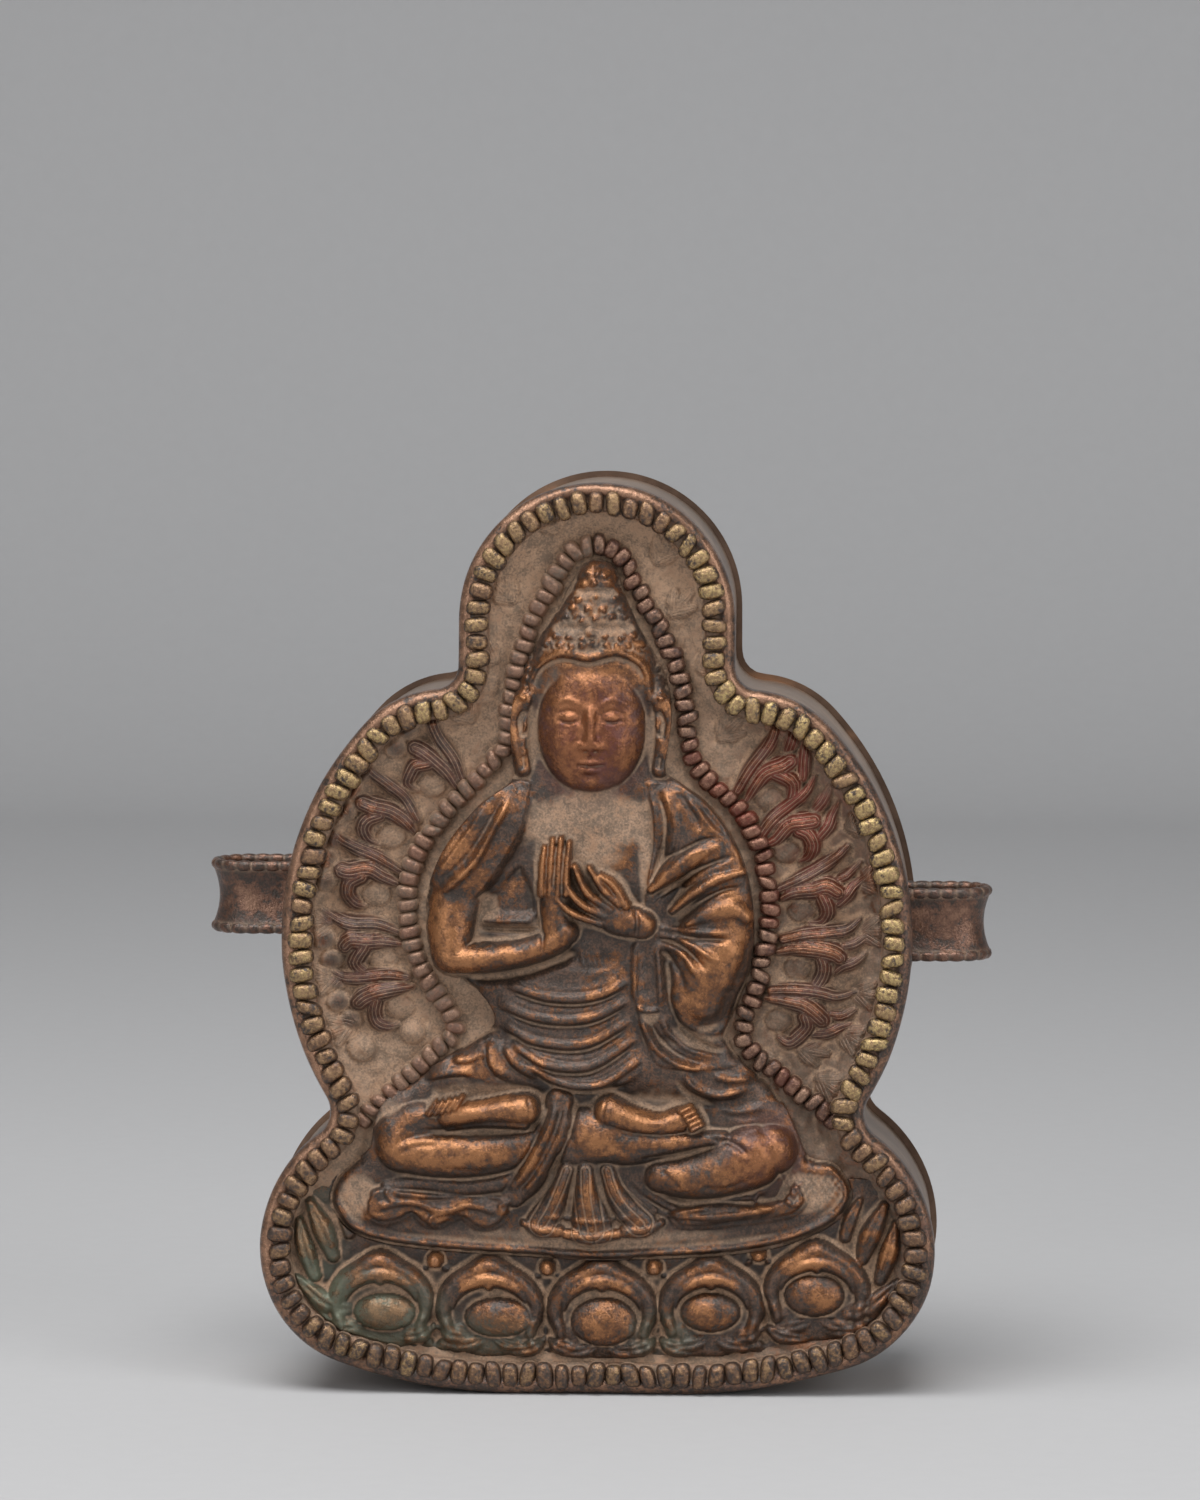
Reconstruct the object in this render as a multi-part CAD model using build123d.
from build123d import *
import math
import os

# All sizes are in millimetres. The box is drawn lying on its back: x runs across it, y up it,
# and z out of its face from the rear of the back plate. It is stood up as it is written out.

# Outline of the box: a dome on a round-shouldered lobe over a wide base with a bowed bottom,
# all tangent arcs
DOME_RADIUS = 14.9
NECK_LENGTH = 4.8
NOTCH_RADIUS = 2.6
SHOULDER_RADIUS = 12.0
SHOULDER_DROP = 7.15
LOBE_RADIUS = 34.05
LOBE_CENTRE_HEIGHT = 49.5
WAIST_RADIUS = 3.0
BASE_RADIUS = 15.8
BASE_HALF_WIDTH = 36.5
BASE_WIDEST_HEIGHT = 15.5
BASE_FLAT_HALF_WIDTH = 9.0
BOW_RADIUS = 57.0

# Case, and the back cover that plugs into it
CASE_DEPTH = 25.0
WALL_THICKNESS = 0.8
BACK_THICKNESS = 0.9
BACK_LIP = 0.6
COVER_THICKNESS = 0.7
COVER_CLEARANCE = 0.3
COVER_REACH = 11.0
PLATE_THICKNESS = 0.8

# Raised rim round the front, with a seat for its beaded wire
RIM_HEIGHT = 3.2
RIM_WIDTH = 3.3
RIM_BAND = 1.1
RIM_EDGE_RADIUS = 0.8
RIM_EDGE_SHARE = 0.8
BEAD_SEAT_DEPTH = 1.0
FIELD_CLEARANCE = 0.3

# Beaded wires: a bead is a short capsule lying across its wire, cut flat where it is soldered
RIM_BEAD_RADIUS = 1.0
RIM_BEAD_STRAIGHT = 0.2
RIM_BEAD_PITCH = 1.85
HALO_BEAD_RADIUS = 0.85
HALO_BEAD_STRAIGHT = 0.3
HALO_BEAD_PITCH = 1.6
BEAD_LIFT_SHARE = 0.45

# Halo: a flared foot, a round body and a pointed head
HALO_FOOT_MARGIN = 1.4
HALO_FOOT_RISE = 0.4
HALO_WAIST_HALF_WIDTH = 15.6
HALO_WAIST_HEIGHT = 39.5
HALO_BODY_HALF_WIDTH = 19.9
HALO_BODY_HEIGHT = 53.5
HALO_NECK_HALF_WIDTH = 10.3
HALO_NECK_HEIGHT = 69.5
HALO_HEAD_HALF_WIDTH = 8.1
HALO_HEAD_HEIGHT = 80.5
HALO_TOP_MARGIN = 3.6

# Flame curls on the plate round the halo
FLAME_COUNT = 6
FLAME_FIRST_ANGLE = -24.0
FLAME_LAST_ANGLE = 52.0
FLAME_ROOT_RADIUS = 2.0
FLAME_TIP_RADIUS = 0.9
FLAME_LENGTH = 3.6
FLAME_SINK = 0.5
FLAME_LEAN = 45.0

# Figure: the sheet's thickness, and the lens of the seat that it rests on
FIGURE_SHEET = 1.0
SEAT_HEIGHT = 15.4
SEAT_HALF_WIDTH = 27.8
SEAT_RISE = 5.0
SEAT_CROWN = 15.0
SEAT_THICKNESS = 2.2
HOLLOW_RADIUS = 3.3

# Lotus throne under the seat
THRONE_SHEET = 0.9
THRONE_GAP = 0.3
PETAL_COUNT = 5
PETAL_PITCH = 11.7
PETAL_HEIGHT = 9.8
PETAL_BOW = 0.0035
PETAL_RADIUS = 6.4
PETAL_SINK = 3.6
BOSS_RADIUS = 3.1
BOSS_DROP = 1.2
BUD_HEIGHT = 13.6
BUD_RADIUS = 1.3
LOWER_PETAL_RADIUS = 4.0
LOWER_PETAL_DROP = 5.2
LOWER_PETAL_SINK = 2.9

# Strap lugs: sheet loops on the lobe's sides, with a wire along each edge
LUG_REACH = 8.3
LUG_WIDTH = 8.4
LUG_HEIGHT = 7.0
LUG_SHEET = 0.85
LUG_DEPTH = 14.0
LEFT_LUG_RISE = 3.9
RIGHT_LUG_RISE = 1.3
LUG_WIRE_RADIUS = 0.6
LUG_WIRE_SEAT = 0.3

PLATE_FRONT = CASE_DEPTH - RIM_HEIGHT
PLATE_BACK = PLATE_FRONT - PLATE_THICKNESS
BEAD_SEAT = CASE_DEPTH - BEAD_SEAT_DEPTH
RIM_BEAD_INSET = (RIM_BAND + RIM_WIDTH) / 2

# Rounded masses of the figure, from its head down. Each is a tapered capsule: start and end in
# x, y and height above the plate, then the radius at each end.
FIGURE_MASSES = {
    "face": ((0.0, 70.0, 0.9), (0.0, 74.4, 0.4), 4.9, 5.9),
    "hair": ((0.0, 79.0, -2.4), (0.1, 86.4, 0.2), 7.8, 2.8),
    "hair_knot": ((0.1, 87.2, 0.6), (0.1, 88.4, 0.6), 1.9, 1.6),
    "left_ear": ((-7.1, 67.8, 0.4), (-6.9, 75.0, 0.4), 1.4, 1.4),
    "right_ear": ((7.0, 68.0, 0.4), (6.9, 75.2, 0.4), 1.4, 1.4),
    "neck": ((0.0, 61.5, -0.6), (0.0, 67.0, -0.6), 3.9, 3.6),
    "shoulders": ((-8.4, 60.4, -3.0), (7.6, 60.4, -3.0), 6.4, 6.5),
    "chest": ((-0.8, 56.0, -11.4), (-0.8, 44.0, -11.4), 16.0, 16.2),
    "left_upper_arm": ((-11.6, 60.6, 0.0), (-14.4, 50.0, 0.5), 4.2, 3.6),
    "left_forearm": ((-14.2, 48.4, 1.6), (-4.0, 52.5, 2.6), 2.6, 2.0),
    "right_upper_arm": ((10.6, 60.6, 0.0), (12.8, 48.0, 0.8), 4.2, 3.8),
    "right_forearm": ((12.2, 47.5, 1.6), (1.0, 54.0, 2.8), 2.8, 1.9),
    "left_hand": ((-4.6, 54.5, 3.0), (-3.6, 59.5, 3.0), 1.8, 1.5),
    "right_hand": ((-1.0, 53.5, 3.4), (2.5, 55.0, 3.4), 1.6, 1.4),
    "belly": ((-2.5, 41.5, -8.0), (0.5, 41.5, -8.0), 13.0, 13.1),
    "sleeve": ((10.2, 47.0, -0.5), (11.0, 41.5, -0.5), 4.2, 4.0),
    "lap": ((-13.0, 35.0, -4.5), (13.0, 35.0, -4.5), 7.0, 7.1),
    "left_knee": ((-20.3, 26.6, 1.6), (-9.0, 26.2, 1.6), 3.6, 3.4),
    "left_foot": ((-16.0, 30.9, 2.6), (-7.5, 31.0, 2.6), 1.9, 1.8),
    "right_knee": ((16.3, 26.6, 1.6), (6.5, 24.2, 1.6), 3.5, 3.3),
    "right_thigh": ((-3.0, 28.4, 1.8), (16.8, 28.2, 1.8), 2.4, 2.6),
    "right_foot": ((0.6, 31.0, 2.6), (9.5, 30.5, 2.6), 1.8, 1.7),
    "robe_hem": ((-23.0, 20.8, 1.6), (20.8, 20.8, 1.6), 1.8, 1.7),
    "middle_pleat": ((-0.5, 24.0, 1.4), (0.0, 18.4, 1.4), 1.4, 2.2),
    "left_pleat": ((-2.0, 23.0, 1.4), (-5.2, 19.2, 1.4), 1.2, 1.8),
    "right_pleat": ((1.5, 23.0, 1.4), (5.0, 19.2, 1.4), 1.2, 1.8),
}


def arc_about(centre, radius, start, end):
    """Return the arc about a centre between two unit directions less than half a turn apart."""
    middle = (start + end).normalized()
    return ThreePointArc(centre + start * radius, centre + middle * radius, centre + end * radius)


def circle_meeting(first, first_radius, second, second_radius):
    """Return the meeting point of two circles that lies furthest to the right."""
    between = second - first
    span = between.length
    along = (span**2 + first_radius**2 - second_radius**2) / (2 * span)
    aside = math.sqrt(first_radius**2 - along**2)
    across = Vector(between.Y, -between.X).normalized()
    if across.X < 0:
        across = across * -1
    return first + between.normalized() * along + across * aside


def outline_centres():
    """Return the centres of the arcs on the right of the outline, which every inset shares."""
    lobe = Vector(0, LOBE_CENTRE_HEIGHT)
    base = Vector(BASE_HALF_WIDTH - BASE_RADIUS, BASE_WIDEST_HEIGHT)
    bow = Vector(BASE_FLAT_HALF_WIDTH, BOW_RADIUS)
    heel = Vector(BASE_HALF_WIDTH - HEEL_RADIUS, BASE_WIDEST_HEIGHT)
    waist = circle_meeting(lobe, LOBE_RADIUS + WAIST_RADIUS, base, BASE_RADIUS + WAIST_RADIUS)
    shoulder_rise = LOBE_RADIUS - SHOULDER_DROP - SHOULDER_RADIUS
    shoulder_reach = math.sqrt((LOBE_RADIUS - SHOULDER_RADIUS) ** 2 - shoulder_rise**2)
    shoulder = lobe + Vector(shoulder_reach, shoulder_rise)
    notch_side = DOME_RADIUS + NOTCH_RADIUS - shoulder.X
    notch_rise = math.sqrt((SHOULDER_RADIUS + NOTCH_RADIUS) ** 2 - notch_side**2)
    notch = shoulder + Vector(notch_side, notch_rise)
    dome = Vector(0, notch.Y + NECK_LENGTH)
    return dome, notch, shoulder, lobe, waist, base, heel, bow


def heel_radius():
    """Return the radius of the arc that joins the base's widest point to the bowed bottom."""
    reach = BASE_HALF_WIDTH - BASE_FLAT_HALF_WIDTH
    drop = BOW_RADIUS - BASE_WIDEST_HEIGHT
    return (BOW_RADIUS**2 - reach**2 - drop**2) / (2 * BOW_RADIUS - 2 * reach)


HEEL_RADIUS = heel_radius()
DOME, NOTCH, SHOULDER, LOBE, WAIST, BASE, HEEL, BOW = outline_centres()
DOME_TOP = DOME.Y + DOME_RADIUS


def outline_edges(inset):
    """Return the edges of the outline, moved inwards by an inset."""
    right, down = Vector(1, 0), Vector(0, -1)
    to_shoulder = (SHOULDER - NOTCH).normalized()
    from_lobe = (SHOULDER - LOBE).normalized()
    lobe_to_waist = (WAIST - LOBE).normalized()
    base_to_waist = (WAIST - BASE).normalized()
    bow_to_heel = (HEEL - BOW).normalized()
    dome_radius = DOME_RADIUS - inset
    neck_top = DOME + right * dome_radius
    neck_bottom = Vector(dome_radius, NOTCH.Y)
    side = [
        Line(neck_top, neck_bottom),
        arc_about(NOTCH, NOTCH_RADIUS + inset, right * -1, to_shoulder),
        arc_about(SHOULDER, SHOULDER_RADIUS - inset, to_shoulder * -1, from_lobe),
        arc_about(LOBE, LOBE_RADIUS - inset, from_lobe, lobe_to_waist),
        arc_about(WAIST, WAIST_RADIUS + inset, lobe_to_waist * -1, base_to_waist * -1),
        arc_about(BASE, BASE_RADIUS - inset, base_to_waist, right),
        arc_about(HEEL, HEEL_RADIUS - inset, right, bow_to_heel),
        arc_about(BOW, BOW_RADIUS - inset, bow_to_heel, down),
    ]
    top = ThreePointArc((-neck_top.X, neck_top.Y), (0, DOME_TOP - inset), neck_top)
    bottom = Line((-BOW.X, inset), (BOW.X, inset))
    return [top, bottom] + side + [mirror(edge, Plane.YZ).edge() for edge in side]


def slab(inset, low, high):
    """Return a solid of the outline at an inset, between two depths."""
    return extrude(Pos(0, 0, low) * make_face(outline_edges(inset)), amount=high - low)


def ring(outer_inset, inner_inset, low, high):
    """Return a band that follows the outline between two insets and two depths."""
    return slab(outer_inset, low, high) - slab(inner_inset, low, high)


def capsule(start, end, start_radius, end_radius):
    """Return a tapered capsule between two points."""
    start, end = Vector(*start), Vector(*end)
    axis = end - start
    length = axis.length
    lean = math.acos((start_radius - end_radius) / length)
    touch = Vector(math.cos(lean), math.sin(lean))
    tail_angle, nose_angle = (math.pi + lean) / 2, lean / 2
    tail_middle = Vector(math.cos(tail_angle), math.sin(tail_angle)) * start_radius
    nose_middle = Vector(length, 0) + Vector(math.cos(nose_angle), math.sin(nose_angle)) * end_radius
    tail_end, nose_end = Vector(-start_radius, 0), Vector(length + end_radius, 0)
    side_start, side_end = touch * start_radius, Vector(length, 0) + touch * end_radius
    profile = make_face(
        [
            ThreePointArc(tail_end, tail_middle, side_start),
            Line(side_start, side_end),
            ThreePointArc(side_end, nose_middle, nose_end),
            Line(nose_end, tail_end),
        ]
    )
    sideways = axis.cross(Vector(0, 0, 1)).normalized()
    return Plane(start, x_dir=axis.normalized(), z_dir=sideways).location * revolve(profile, Axis.X)


def dome(x, y, radius, sink):
    """Return a ball whose centre lies a sink below the front of the plate."""
    return Pos(x, y, PLATE_FRONT - sink) * Sphere(radius)


def on_plate(point):
    """Return a point given from the plate, in the box's own depth."""
    return (point[0], point[1], point[2] + PLATE_FRONT)


def field():
    """Return the space inside the rim, in front of the plate."""
    return slab(RIM_WIDTH + FIELD_CLEARANCE, PLATE_FRONT, PLATE_FRONT + CASE_DEPTH)


def bead_wire(path, pitch, radius, straight, seat):
    """Return a wire of beads, evenly spaced along a path and flat on a seat."""
    lift = radius * BEAD_LIFT_SHARE
    bead = capsule((0, -straight / 2, lift), (0, straight / 2, lift), radius, radius)
    above = Pos(0, 0, 2 * radius) * Box(8 * radius, 8 * radius + straight, 4 * radius)
    bead = bead & above
    count = round(path.length / pitch)
    beads = []
    for index in range(count):
        along = (index + 0.5) * path.length / count
        place = path.position_at(along, PositionMode.LENGTH)
        heading = path.tangent_at(along, PositionMode.LENGTH)
        turn = math.degrees(math.atan2(heading.Y, heading.X))
        beads.append(Location((place.X, place.Y, seat), (0, 0, turn)) * bead)
    return beads[0].fuse(*beads[1:])


def case_wall():
    """Return the soldered band that makes the sides of the case."""
    return ring(BACK_LIP, BACK_LIP + WALL_THICKNESS, BACK_THICKNESS, PLATE_BACK)


def back_plate():
    """Return the back of the cover, which stands out past the wall as a lip."""
    return slab(0, 0, BACK_THICKNESS)


def cover_wall():
    """Return the cover's own wall, which plugs into the case."""
    outer = BACK_LIP + WALL_THICKNESS + COVER_CLEARANCE
    return ring(outer, outer + COVER_THICKNESS, BACK_THICKNESS, BACK_THICKNESS + COVER_REACH)


def front_rim():
    """Return the raised rim, stepped inside its outer band to seat the beads."""
    rim = ring(0, RIM_WIDTH, PLATE_FRONT, CASE_DEPTH)
    rim = rim - ring(RIM_BAND, RIM_WIDTH, BEAD_SEAT, CASE_DEPTH)
    crest = rim.faces().sort_by(Axis.Z)[-1].outer_wire().edges()
    return fillet(crest, min(RIM_EDGE_RADIUS, RIM_EDGE_SHARE * RIM_BAND))


def rim_beading():
    """Return the beaded wire round the front."""
    path = Wire(outline_edges(RIM_BEAD_INSET))
    return bead_wire(path, RIM_BEAD_PITCH, RIM_BEAD_RADIUS, RIM_BEAD_STRAIGHT, BEAD_SEAT)


def halo_path():
    """Return the halo's path: a straight foot, a body arc and a head arc on each side."""
    apex = DOME_TOP - RIM_WIDTH - HALO_TOP_MARGIN
    foot_reach = WAIST.X - WAIST_RADIUS - RIM_WIDTH - HALO_FOOT_MARGIN
    waist = (HALO_WAIST_HALF_WIDTH, HALO_WAIST_HEIGHT)
    neck = (HALO_NECK_HALF_WIDTH, HALO_NECK_HEIGHT)
    right = [
        Line((foot_reach, WAIST.Y + HALO_FOOT_RISE), waist),
        ThreePointArc(waist, (HALO_BODY_HALF_WIDTH, HALO_BODY_HEIGHT), neck),
        ThreePointArc(neck, (HALO_HEAD_HALF_WIDTH, HALO_HEAD_HEIGHT), (0, apex)),
    ]
    return Wire(right + [mirror(edge, Plane.YZ).edge() for edge in right])


def halo_beading(figure):
    """Return the beaded wire of the halo, cut back where the figure overlaps it."""
    path = halo_path()
    wire = bead_wire(path, HALO_BEAD_PITCH, HALO_BEAD_RADIUS, HALO_BEAD_STRAIGHT, PLATE_FRONT)
    return wire - figure


def aureole_plate():
    """Return the plate behind the figure, with flame curls raised on it round the halo."""
    plate = slab(BACK_LIP, PLATE_BACK, PLATE_FRONT)
    ring_radius = (HALO_BODY_HALF_WIDTH + LOBE_RADIUS - RIM_WIDTH) / 2
    step = (FLAME_LAST_ANGLE - FLAME_FIRST_ANGLE) / (FLAME_COUNT - 1)
    curls = []
    for index in range(FLAME_COUNT):
        angle = math.radians(FLAME_FIRST_ANGLE + index * step)
        root = LOBE + Vector(math.cos(angle), math.sin(angle)) * ring_radius
        lean = angle + math.radians(FLAME_LEAN)
        tip = root + Vector(math.cos(lean), math.sin(lean)) * FLAME_LENGTH
        start = on_plate((root.X, root.Y, -FLAME_SINK))
        end = on_plate((tip.X, tip.Y, -FLAME_SINK / 2))
        curl = capsule(start, end, FLAME_ROOT_RADIUS, FLAME_TIP_RADIUS) & field()
        curls += [curl, mirror(curl, Plane.YZ)]
    return plate.fuse(*curls)


def seat_face(gap):
    """Return the seat's lens-shaped outline, made larger by a gap."""
    tip_height = SEAT_HEIGHT + SEAT_RISE
    left, right = (-SEAT_HALF_WIDTH - gap, tip_height), (SEAT_HALF_WIDTH + gap, tip_height)
    lower = ThreePointArc(left, (0, SEAT_HEIGHT - gap), right)
    upper = ThreePointArc(right, (0, SEAT_HEIGHT + SEAT_CROWN + gap), left)
    return Pos(0, 0, PLATE_FRONT) * make_face([lower, upper])


def figure():
    """Return the seated figure and its seat as one sheet, hollowed from behind."""
    masses = []
    hollows = []
    for start, end, start_radius, end_radius in FIGURE_MASSES.values():
        start, end = on_plate(start), on_plate(end)
        masses.append(capsule(start, end, start_radius, end_radius))
        if min(start_radius, end_radius) > HOLLOW_RADIUS:
            hollows.append(capsule(start, end, start_radius - FIGURE_SHEET, end_radius - FIGURE_SHEET))
    seat = extrude(seat_face(0), amount=SEAT_THICKNESS)
    return (seat.fuse(*masses) & field()).cut(*hollows)


def lotus_throne():
    """Return the petalled panel below the seat."""
    lumps = []
    for index in range(PETAL_COUNT):
        x = (index - (PETAL_COUNT - 1) / 2) * PETAL_PITCH
        y = PETAL_HEIGHT + PETAL_BOW * x**2
        lumps.append(dome(x, y, PETAL_RADIUS, PETAL_SINK))
        lumps.append(dome(x, y - BOSS_DROP, BOSS_RADIUS, 0))
    for index in range(PETAL_COUNT + 1):
        x = (index - PETAL_COUNT / 2) * PETAL_PITCH
        y = PETAL_HEIGHT + PETAL_BOW * x**2
        lumps.append(dome(x, BUD_HEIGHT, BUD_RADIUS, 0))
        lumps.append(dome(x, y - LOWER_PETAL_DROP, LOWER_PETAL_RADIUS, LOWER_PETAL_SINK))
    panel = slab(RIM_WIDTH + FIELD_CLEARANCE, PLATE_FRONT, PLATE_FRONT + THRONE_SHEET)
    above = Pos(0, SEAT_HEIGHT + SEAT_RISE + DOME_TOP / 2, PLATE_FRONT)
    keep_out = above * Box(4 * LOBE_RADIUS, DOME_TOP, 2 * CASE_DEPTH)
    seat_room = extrude(seat_face(THRONE_GAP), amount=CASE_DEPTH)
    return (panel.fuse(*lumps) & field()) - keep_out - seat_room


def loop_profile(root, bend_centre, half_width):
    """Return the outer edge of a lug's section: a tongue with a round end."""
    tongue = Pos((root + bend_centre) / 2, LUG_DEPTH) * Rectangle(bend_centre - root, 2 * half_width)
    return tongue + Pos(bend_centre, LUG_DEPTH) * Circle(half_width)


def lug_pieces(side, rise):
    """Return one lug's loop, upper wire and lower wire; side is 1 for right and -1 for left."""
    root = LOBE_RADIUS / 2
    half = LUG_WIDTH / 2
    bend_centre = LOBE_RADIUS + LUG_REACH - half
    middle = LOBE_CENTRE_HEIGHT + rise
    section = loop_profile(root, bend_centre, half) - loop_profile(root, bend_centre, half - LUG_SHEET)
    strip = Pos(0, middle + LUG_HEIGHT / 2, 0) * extrude(Plane.XZ * section, amount=LUG_HEIGHT)
    wall = slab(BACK_LIP, 0, CASE_DEPTH)
    run = half - LUG_SHEET / 2
    path = [
        Line((root, LUG_DEPTH - run), (bend_centre, LUG_DEPTH - run)),
        ThreePointArc(
            (bend_centre, LUG_DEPTH - run),
            (bend_centre + run, LUG_DEPTH),
            (bend_centre, LUG_DEPTH + run),
        ),
        Line((bend_centre, LUG_DEPTH + run), (root, LUG_DEPTH + run)),
    ]
    track = Plane.XZ * Wire(path)
    hoop = sweep(Plane(track @ 0, z_dir=track % 0) * Circle(LUG_WIRE_RADIUS), path=track)
    room = Pos(0, middle, 0) * Box(4 * LOBE_RADIUS, LUG_HEIGHT, 4 * CASE_DEPTH)
    offset = LUG_HEIGHT / 2 + LUG_WIRE_SEAT
    pieces = [strip - wall]
    for direction in (1, -1):
        pieces.append(Pos(0, middle + direction * offset, 0) * hoop - room - wall)
    return pieces if side > 0 else [mirror(piece, Plane.YZ) for piece in pieces]


def build_parts():
    """Return every piece by name, still lying on its back."""
    figure_sheet = figure()
    parts = {
        "case_wall": case_wall(),
        "front_rim": front_rim(),
        "rim_beading": rim_beading(),
        "aureole_plate": aureole_plate(),
        "halo_beading": halo_beading(figure_sheet),
        "figure": figure_sheet,
        "lotus_throne": lotus_throne(),
        "back_plate": back_plate(),
        "cover_wall": cover_wall(),
    }
    for name, side, rise in (("left", -1, LEFT_LUG_RISE), ("right", 1, RIGHT_LUG_RISE)):
        loop, upper, lower = lug_pieces(side, rise)
        parts[f"{name}_lug"] = loop
        parts[f"{name}_lug_upper_wire"] = upper
        parts[f"{name}_lug_lower_wire"] = lower
    return parts


def main():
    """Stand the pieces up, centred on the vertical axis, and write one file for each."""
    os.makedirs("parts", exist_ok=True)
    parts = build_parts()
    depth = parts["figure"].bounding_box().max.Z
    stand = Pos(0, depth / 2, 0) * Rot(90, 0, 0)
    for name, part in parts.items():
        export_step(stand * part, f"parts/{name}.step")


main()
